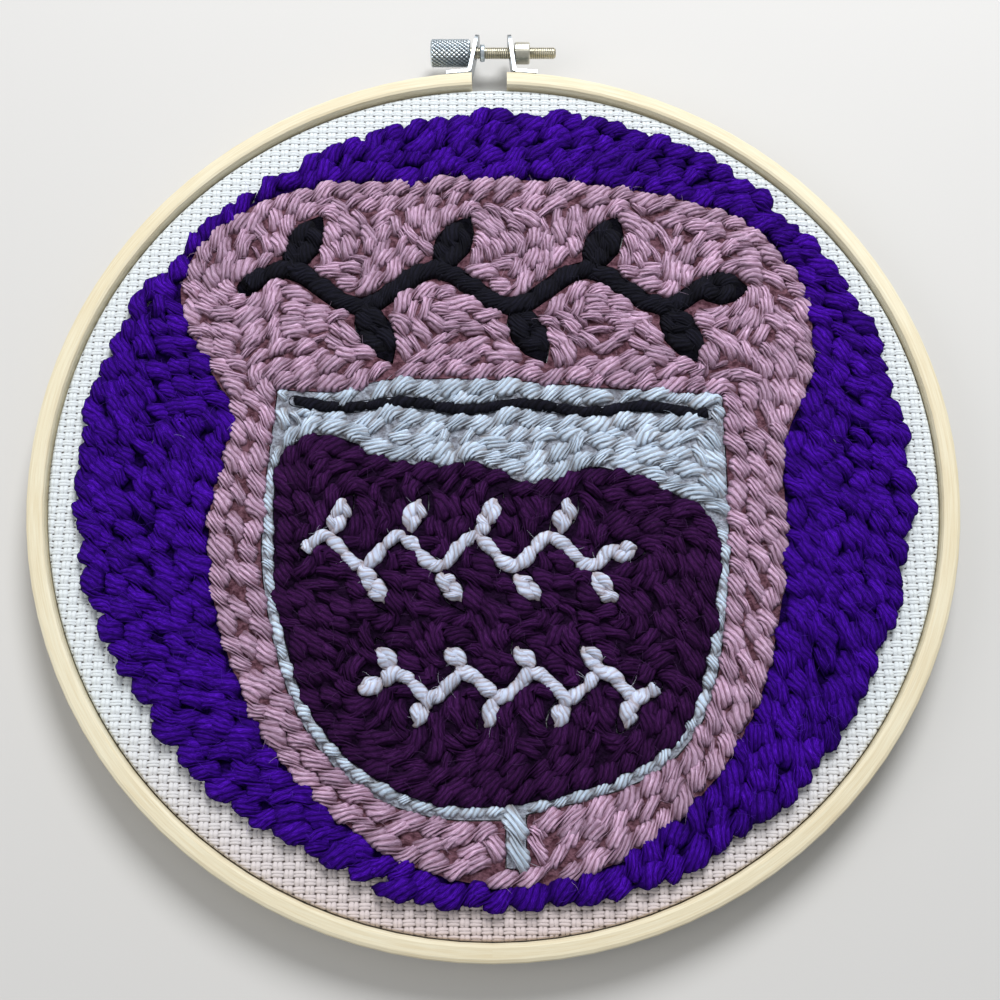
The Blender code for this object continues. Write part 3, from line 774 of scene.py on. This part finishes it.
for name, stitches, count, slotName, colour in [
    ("purpleFibres", "purpleStitches", 900, "purple_yarn", shade(92, 44, 190)),
    ("mauveFibres", "mauveStitches", 700, "mauve_yarn", shade(206, 176, 204)),
    ("paleFibres", "paleStitches", 140, "pale_yarn", shade(214, 228, 246)),
    ("plumFibres", "plumStitches", 500, "plum_yarn", shade(92, 58, 108)),
    ("garlandFibres", "garlandStitches", 90, "garland_yarn", shade(60, 58, 78)),
    ("upperSprigFibres", "upperSprigStitches", 60, "upper_sprig_yarn", shade(236, 240, 255)),
    ("lowerSprigFibres", "lowerSprigStitches", 60, "lower_sprig_yarn", shade(236, 240, 255)),
]:
    looseFibres(name, stitched[stitches], count, fibreMaterial(name + "Yarn", colour))
lint = fibreMaterial("lintFibre", shade(170, 158, 204))
looseFibres("paleLint", stitched["purpleStitches"], 7, lint, 4.0, 0.04)
print("stage: stitches laid")

cloth = {
    "warpPitch": 2.35,   # paired threads along y, one pair for each pitch in x
    "weftPitch": 1.65,   # paired threads along x
    "rise": 0.20,        # how far a thread climbs to pass over another
    "thread": 0.24,      # how far a thread's crown stands above its edges
    "columns": 1440,
    "innerBand": 88.5,   # the weave is a relief from this radius outwards, and bump inside it
    "flatAt": 40.0,      # radius of the plain disc under the yarn
    "sunk": 0.4,         # how far that disc lies below the weave
    "bend": 1.1,         # radius of the fold over the inner ring
    "wall": 1.0,         # thickness of the part between the rings
}


# A plain weave: each thread climbs over one and dips under the next, so its height is
# rise * cos(pi * way past the crossing), plus a round crown across its own width.
def weaveHeight(x, y):
    i, j = np.floor(x / cloth["warpPitch"]), np.floor(y / cloth["weftPitch"])
    fx, fy = x / cloth["warpPitch"] - i - 0.5, y / cloth["weftPitch"] - j - 0.5
    sign = np.where((i + j) % 2 == 0, 1.0, -1.0)
    crownX = np.sqrt(np.clip(1 - (fx / 0.5) ** 2, 0, 1))
    crownY = np.sqrt(np.clip(1 - (fy / 0.5) ** 2, 0, 1))
    warp = sign * cloth["rise"] * np.cos(math.pi * fy) + cloth["thread"] * crownX
    weft = -sign * cloth["rise"] * np.cos(math.pi * fx) + cloth["thread"] * crownY
    return np.maximum(warp, weft) - cloth["rise"] - cloth["thread"]


# The stretched cloth: a profile of (radius, height, share of the weave's relief) turned
# about the hoop's middle. It runs out over the ring, down between the rings and back
# under, and a fan of triangles closes it above and below.
def makeCloth(material):
    edge, low, under = clothRadius, boxOf("ground_cloth")[0][2], clothUnder
    bend, wall, sunk, flatAt = cloth["bend"], cloth["wall"], cloth["sunk"], cloth["flatAt"]
    band = np.linspace(cloth["innerBand"], edge - bend, 36)
    fold = np.radians(np.linspace(0, 90, 6))[1:]
    profile = [(flatAt, clothTop - sunk, 0.0), *[(r, clothTop, 1.0) for r in band]]
    profile += [
        (edge - bend + bend * math.sin(a), clothTop - bend + bend * math.cos(a), 0.9 - 0.9 * a) for a in fold
    ]
    profile += [(edge, z, 0.0) for z in np.linspace(clothTop - 2.5, low, 4)]
    profile += [(edge - wall / 2, low, 0.0), (edge - wall, low, 0.0)]
    profile += [(edge - wall, under - sunk, 0.0), (edge - wall * 1.5, under, 0.0)]
    profile += [(r, under, 0.0) for r in (99.0, 94.0, flatAt)]
    profile = np.array(profile)
    angle = np.linspace(0, 2 * math.pi, cloth["columns"] + 1)[:-1]
    x, y = profile[:, :1] * np.cos(angle), profile[:, :1] * np.sin(angle)
    z = profile[:, 1:2] + np.clip(profile[:, 2:3], 0, 1) * weaveHeight(x, y)
    points = np.stack([x, y, z], axis=-1).reshape(-1, 3)
    top, bottom = len(points), len(points) + 1
    points = np.concatenate([points, [[0, 0, clothTop - sunk], [0, 0, under]]])
    columns, rows = cloth["columns"], len(profile)
    quads = ringQuads(rows, columns)[:, ::-1]
    j = np.arange(columns)
    n = (j + 1) % columns
    topFan = np.stack([np.full(columns, top), j, n], axis=1)
    last = (rows - 1) * columns
    bottomFan = np.stack([np.full(columns, bottom), last + n, last + j], axis=1)
    piece = makePiece("groundCloth", points, quads, [np.concatenate([topFan, bottomFan])])
    piece.data.materials.append(material)
    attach(piece, "hoop")
    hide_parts("ground_cloth")
    print(f"stage: cloth, {len(quads) * 2} triangles")


# The same weave as colour and relief, with the two strands of each pair and painted shade in
# the holes where four threads meet.
weaveGroup, gIn, gOut = newGroup(
    "openWeave",
    [
        ("Warp Pitch", "NodeSocketFloat", cloth["warpPitch"]),
        ("Weft Pitch", "NodeSocketFloat", cloth["weftPitch"]),
        ("Thread", "NodeSocketColor", (0.8, 0.8, 0.8, 1)),
        ("Gap", "NodeSocketColor", (0.1, 0.1, 0.1, 1)),
        ("Tan", "NodeSocketColor", (0.5, 0.4, 0.4, 1)),
    ],
    [("Color", "NodeSocketColor"), ("Height", "NodeSocketFloat")],
)
g = weaveGroup
where = addNode(g, "ShaderNodeTexCoord").outputs["Object"]
moved = addNode(
    g, "ShaderNodeMapping", {"Vector": where, "Location": tuple(-hoopCentre), "Scale": (1000, 1000, 1000)}
).outputs[0]
wobble = addNode(g, "ShaderNodeTexNoise", {"Vector": moved, "Scale": 0.35, "Detail": 2.0}).outputs["Color"]
wobble = addNode(g, "ShaderNodeVectorMath", {0: wobble, 1: (0.5, 0.5, 0.5)}, operation="SUBTRACT").outputs[0]
wobble = addNode(g, "ShaderNodeVectorMath", {0: wobble, "Scale": 0.55}, operation="SCALE").outputs[0]
moved = addNode(g, "ShaderNodeVectorMath", {0: moved, 1: wobble}, operation="ADD").outputs[0]
split = addNode(g, "ShaderNodeSeparateXYZ", {0: moved})
ways, cells = [], []
for axis, pitchName in ((0, "Warp Pitch"), (1, "Weft Pitch")):
    way = doMath(g, "DIVIDE", split.outputs[axis], gIn.outputs[pitchName])
    cell = doMath(g, "FLOOR", way)
    cells.append(cell)
    ways.append(doMath(g, "SUBTRACT", doMath(g, "SUBTRACT", way, cell), 0.5))
parity = doMath(g, "PINGPONG", doMath(g, "ADD", cells[0], cells[1]), 1.0)
sign = doMath(g, "MULTIPLY_ADD", parity, -2.0, 1.0)


# Two strands side by side: sqrt(1 - ((|way| - 0.21) / 0.22) ** 2).
def pairCrown(way):
    off = doMath(g, "DIVIDE", doMath(g, "SUBTRACT", doMath(g, "ABSOLUTE", way), 0.21), 0.22)
    return doMath(g, "SQRT", doMath(g, "SUBTRACT", 1.0, doMath(g, "MULTIPLY", off, off), clamp=True))


crownX, crownY = pairCrown(ways[0]), pairCrown(ways[1])
climbX = doMath(g, "MULTIPLY", sign, doMath(g, "COSINE", doMath(g, "MULTIPLY", ways[1], math.pi)))
climbY = doMath(g, "MULTIPLY", sign, doMath(g, "COSINE", doMath(g, "MULTIPLY", ways[0], math.pi)))
warpHeight = doMath(g, "MULTIPLY_ADD", climbX, 0.45, doMath(g, "MULTIPLY", crownX, 0.55))
weftHeight = doMath(g, "MULTIPLY_ADD", climbY, -0.45, doMath(g, "MULTIPLY", crownY, 0.55))
highest = doMath(g, "MAXIMUM", warpHeight, weftHeight)
spun = addNode(g, "ShaderNodeTexNoise", {"Vector": moved, "Scale": 3.2, "Detail": 3.0}).outputs["Fac"]
# Towards the bottom the threads turn tanner and the holes darker and wider.
bottomShare = doMath(g, "MULTIPLY_ADD", split.outputs[1], -0.014, -0.75, clamp=True)
# Painted shade fills the holes where the threads lie low.
holeShadeShare = doMath(g, "MULTIPLY_ADD", highest, -2.3, doMath(g, "MULTIPLY_ADD", bottomShare, 0.5, 1.08), clamp=True)
# Painted shade on the threads where they dip, mixed with spun noise in their tone.
shadeOf = doMath(g, "MULTIPLY_ADD", spun, 0.4, doMath(g, "MULTIPLY_ADD", highest, 0.14, 0.68), clamp=True)
tanned = mixColour(g, doMath(g, "MULTIPLY", bottomShare, 0.8), gIn.outputs["Thread"], gIn.outputs["Tan"])
threads = addNode(g, "ShaderNodeVectorMath", {0: tanned, "Scale": shadeOf}, operation="SCALE").outputs[0]
g.links.new(mixColour(g, holeShadeShare, threads, gIn.outputs["Gap"]), gOut.inputs["Color"])
g.links.new(doMath(g, "MULTIPLY_ADD", spun, 0.25, highest), gOut.inputs["Height"])

clothMaterial, tree, shader = newMaterial("clothThread", 0.9, specular=0.15)
look = placeGroup(
    tree, weaveGroup,
    Thread=(*shade(222, 228, 230), 1), Gap=(*shade(66, 52, 46), 1), Tan=(*shade(206, 168, 160), 1),
)
bump = addNode(tree, "ShaderNodeBump", {"Height": look.outputs["Height"], "Strength": 0.9, "Distance": 0.0004})
tree.links.new(look.outputs["Color"], shader.inputs["Base Color"])
tree.links.new(bump.outputs[0], shader.inputs["Normal"])
shader.inputs["Sheen Weight"].default_value = 0.12
makeCloth(clothMaterial)


# Grain that runs round the ring: noise on (distance from the middle, way round, height),
# squeezed across and stretched along.
woodGroup, gIn, gOut = newGroup(
    "bentWood",
    [
        ("Light", "NodeSocketColor", (0.8, 0.7, 0.5, 1)),
        ("Dark", "NodeSocketColor", (0.6, 0.5, 0.3, 1)),
        ("Seed", "NodeSocketFloat", 0.0),
    ],
    [("Color", "NodeSocketColor"), ("Roughness", "NodeSocketFloat"), ("Height", "NodeSocketFloat")],
)
g = woodGroup
where = addNode(g, "ShaderNodeTexCoord").outputs["Object"]
moved = addNode(
    g, "ShaderNodeMapping", {"Vector": where, "Location": tuple(-hoopCentre), "Scale": (1000, 1000, 1000)}
).outputs[0]
split = addNode(g, "ShaderNodeSeparateXYZ", {0: moved})
xx, yy = split.outputs[0], split.outputs[1]
distance = doMath(g, "SQRT", doMath(g, "ADD", doMath(g, "MULTIPLY", xx, xx), doMath(g, "MULTIPLY", yy, yy)))
bearing = doMath(g, "MULTIPLY", doMath(g, "ARCTAN2", xx, yy), 105.0)
polar = addNode(g, "ShaderNodeCombineXYZ", {0: distance, 1: bearing, 2: split.outputs[2]}).outputs[0]
shifted = addNode(g, "ShaderNodeVectorMath", {0: polar}, operation="ADD")
g.links.new(gIn.outputs["Seed"], shifted.inputs[1])
grainLay = addNode(g, "ShaderNodeMapping", {"Vector": shifted.outputs[0], "Scale": (1.9, 0.045, 1.5)}).outputs[0]
grain = addNode(
    g, "ShaderNodeTexNoise", {"Vector": grainLay, "Scale": 1.6, "Detail": 5.0, "Roughness": 0.62}
).outputs["Fac"]
poreLay = addNode(g, "ShaderNodeMapping", {"Vector": shifted.outputs[0], "Scale": (5.0, 0.16, 4.0)}).outputs[0]
pores = addNode(
    g, "ShaderNodeTexNoise", {"Vector": poreLay, "Scale": 2.4, "Detail": 3.0, "Roughness": 0.7}
).outputs["Fac"]
patch = addNode(g, "ShaderNodeTexNoise", {"Vector": moved, "Scale": 0.03, "Detail": 2.0}).outputs["Fac"]
share = doMath(g, "MULTIPLY_ADD", grain, 2.4, -0.85, clamp=True)
share = doMath(g, "ADD", share, doMath(g, "MULTIPLY_ADD", patch, 0.8, -0.4), clamp=True)
toned = mixColour(g, share, gIn.outputs["Light"], gIn.outputs["Dark"])
poreShare = doMath(g, "MULTIPLY_ADD", pores, -4.5, 1.75, clamp=True)
poreShare = doMath(g, "MULTIPLY", poreShare, 0.35)
g.links.new(mixColour(g, poreShare, toned, gIn.outputs["Dark"], "MULTIPLY"), gOut.inputs["Color"])
g.links.new(doMath(g, "MULTIPLY_ADD", grain, 0.25, 0.42), gOut.inputs["Roughness"])
g.links.new(doMath(g, "MULTIPLY_ADD", pores, 0.6, grain), gOut.inputs["Height"])


# One ring's wood: its light and dark grain, and a seed that shifts the grain.
def woodMaterial(name, light, dark, seed):
    made, tree, shader = newMaterial(name, 0.5, specular=0.35)
    look = placeGroup(tree, woodGroup, Light=(*light, 1), Dark=(*dark, 1), Seed=seed)
    bump = addNode(tree, "ShaderNodeBump", {"Height": look.outputs["Height"], "Strength": 0.35, "Distance": 0.00012})
    tree.links.new(look.outputs["Color"], shader.inputs["Base Color"])
    tree.links.new(look.outputs["Roughness"], shader.inputs["Roughness"])
    tree.links.new(bump.outputs[0], shader.inputs["Normal"])
    return made


# A CAD node that still shows gets its material.
def giveMaterial(nodeName, material):
    node = nodes[nodeName]
    node.data.materials.clear()
    node.data.materials.append(material)


giveMaterial("outer_hoop", woodMaterial("outerWood", shade(226, 218, 191), shade(211, 195, 159), 3.0))
giveMaterial("inner_hoop", woodMaterial("innerWood", shade(222, 206, 172), shade(198, 175, 134), 41.0))
print("stage: wood")

# Plated metal: cloudy wear in the plating, fine scratches along it and painted shade in the cuts.
metalGroup, gIn, gOut = newGroup(
    "platedMetal",
    [
        ("Plate", "NodeSocketColor", (0.7, 0.7, 0.7, 1)),
        ("Worn", "NodeSocketColor", (0.5, 0.5, 0.5, 1)),
        ("CutShade", "NodeSocketColor", (0.06, 0.08, 0.10, 1)),
    ],
    [("Color", "NodeSocketColor"), ("Roughness", "NodeSocketFloat"), ("Height", "NodeSocketFloat")],
)
g = metalGroup
where = addNode(g, "ShaderNodeTexCoord").outputs["Object"]
cloud = addNode(g, "ShaderNodeTexNoise", {"Vector": where, "Scale": 420.0, "Detail": 4.0}).outputs["Fac"]
scratchLay = addNode(g, "ShaderNodeMapping", {"Vector": where, "Scale": (300, 2600, 2600)}).outputs[0]
scratches = addNode(g, "ShaderNodeTexNoise", {"Vector": scratchLay, "Scale": 1.0, "Detail": 3.0}).outputs["Fac"]
share = doMath(g, "MULTIPLY_ADD", cloud, 2.2, -0.75, clamp=True)
plated = mixColour(g, share, gIn.outputs["Plate"], gIn.outputs["Worn"])
# Painted shade in the cuts: the cut attribute is high in the grooves of the knurl and the thread.
cutShadeValue = addNode(g, "ShaderNodeAttribute", attribute_name="cut").outputs["Fac"]
cutShadeShare = doMath(g, "MULTIPLY_ADD", cutShadeValue, 1.7, -0.25, clamp=True)
g.links.new(mixColour(g, cutShadeShare, plated, gIn.outputs["CutShade"]), gOut.inputs["Color"])
rough = doMath(g, "MULTIPLY_ADD", scratches, 0.22, 0.16)
g.links.new(doMath(g, "MULTIPLY_ADD", cloud, 0.12, rough), gOut.inputs["Roughness"])
g.links.new(scratches, gOut.inputs["Height"])


# A metal of its own plating and wear.
def metalMaterial(name, plate, worn):
    made, tree, shader = newMaterial(name, 0.3, 1.0)
    look = placeGroup(tree, metalGroup, Plate=(*plate, 1), Worn=(*worn, 1))
    bump = addNode(tree, "ShaderNodeBump", {"Height": look.outputs["Height"], "Strength": 0.2, "Distance": 0.00005})
    tree.links.new(look.outputs["Color"], shader.inputs["Base Color"])
    tree.links.new(look.outputs["Roughness"], shader.inputs["Roughness"])
    tree.links.new(bump.outputs[0], shader.inputs["Normal"])
    return made


zinc = metalMaterial("bluishZinc", shade(228, 236, 240), shade(172, 186, 196))
# The lugs' zinc: the screw's plating in a darker copy, painted shade that keeps the lugs from showing white.
shadedLugZinc = metalMaterial("shadedLugZinc", shade(164, 170, 172), shade(124, 130, 136))
yellowZinc = metalMaterial("yellowZinc", shade(230, 222, 196), shade(190, 180, 152))
for nodeName in ("lug_left", "lug_right"):
    giveMaterial(nodeName, shadedLugZinc)
giveMaterial("barrel_nut", metalMaterial("nutZinc", shade(232, 228, 212), shade(190, 186, 168)))

screw = {
    "headRadius": 3.55,
    "headLength": 10.3,
    "headColumns": 160,
    "knurls": 20,            # ridges each way round the head
    "knurlLean": 1.15,       # mm along for each mm round
    "knurlDepth": 0.5,
    "endRound": 0.5,         # how far the head is rounded at its ends
    "shankRadius": 1.5,
    "shankColumns": 28,
    "threadPitch": 0.5,
    "threadDepth": 0.16,
    "tipDrop": 0.45,         # how far the shank narrows at its tip
    "collarRadius": 2.2,
    "collarLength": 1.3,
    "collarClear": 0.1,      # gap between the collar and the lug
    "collarColumns": 40,
}


# A shape turned about the screw's axis: radius * (cos, sin) of the angle at each length.
def turnedGrid(name, along, radius, columns, material, replaced=None, cutShade=None):
    low, high = boxOf("thumb_screw")
    axisY, axisZ = (low[1] + high[1]) / 2 - hoopCentre[1], (low[2] + high[2]) / 2
    angle = np.linspace(0, 2 * math.pi, columns + 1)[:-1]
    x = np.broadcast_to(along[:, None], radius.shape)
    points = np.stack([x, axisY + radius * np.cos(angle), axisZ + radius * np.sin(angle)], axis=-1).reshape(-1, 3)
    quads = ringQuads(len(along), columns)
    first = np.arange(columns)[::-1][None]
    last = np.arange(columns)[None] + (len(along) - 1) * columns
    # How far painted shade darkens each point of the cuts; none unless given.
    cutShade = np.zeros(radius.shape) if cutShade is None else cutShade
    piece = makePiece(name, points, quads, [np.concatenate([first, last])], values={"cut": cutShade.ravel()})
    piece.data.materials.append(material)
    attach(piece, "screw")
    if replaced:
        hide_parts(replaced)


# The screw's head, shank and collar, each a radius over a grid of lengths and angles.
def makeScrew():
    low, high = boxOf("thumb_screw")
    left, right = low[0] - hoopCentre[0], high[0] - hoopCentre[0]
    headEnd = left + screw["headLength"]
    columns, endRound = screw["headColumns"], screw["endRound"]
    angle = np.linspace(0, 2 * math.pi, columns + 1)[:-1]
    # Crossed ridges: two sets of slanting waves added up, the one cut deeper than the other.
    along = np.linspace(left, headEnd, 91)
    slant = along[:, None] / (screw["headRadius"] * screw["knurlLean"])
    one = np.abs(np.sin((angle[None] - slant) * screw["knurls"] / 2))
    two = np.abs(np.sin((angle[None] + slant) * screw["knurls"] / 2))
    ends = np.minimum(along - left, headEnd - along)
    cut = np.clip(ends / endRound, 0, 1)[:, None]
    knurl = 0.72 * one + 0.28 * two
    radius = screw["headRadius"] - screw["knurlDepth"] * (1 - knurl) * cut - endRound * (1 - cut) ** 1.5
    # The knurl's grooves get painted shade.
    turnedGrid("screwHead", along, radius, columns, zinc, "thumb_screw", (1 - knurl) * cut)
    # A fine thread: radius falls away from a helix and back once for each pitch.
    columns = screw["shankColumns"]
    angle = np.linspace(0, 2 * math.pi, columns + 1)[:-1]
    along = np.arange(headEnd - 0.2, right, 0.1)
    way = (along[:, None] / screw["threadPitch"] + angle[None] / (2 * math.pi)) % 1.0
    crest = 1 - np.abs(2 * way - 1)
    tip = np.clip((right - along) / 0.5, 0, 1)[:, None]
    radius = screw["shankRadius"] - screw["threadDepth"] * (1 - crest) - screw["tipDrop"] * (1 - tip)
    # The thread's roots get painted shade.
    turnedGrid("screwShank", along, radius, columns, yellowZinc, cutShade=0.6 * (1 - crest))
    # The collar: a plain band with rounded rims beside the lug.
    lugEdge = boxOf("lug_left")[1][0] - hoopCentre[0]
    along = lugEdge + screw["collarClear"] + screw["collarLength"] * np.linspace(0, 1, 9)
    bulge = np.sqrt(np.clip(1 - (np.linspace(-1, 1, 9) * 0.93) ** 6, 0, 1))
    radius = screw["shankRadius"] + (screw["collarRadius"] - screw["shankRadius"]) * bulge
    columns = screw["collarColumns"]
    turnedGrid("screwCollar", along, np.repeat(radius[:, None], columns, axis=1), columns, zinc)


makeScrew()
print("stage: metal")
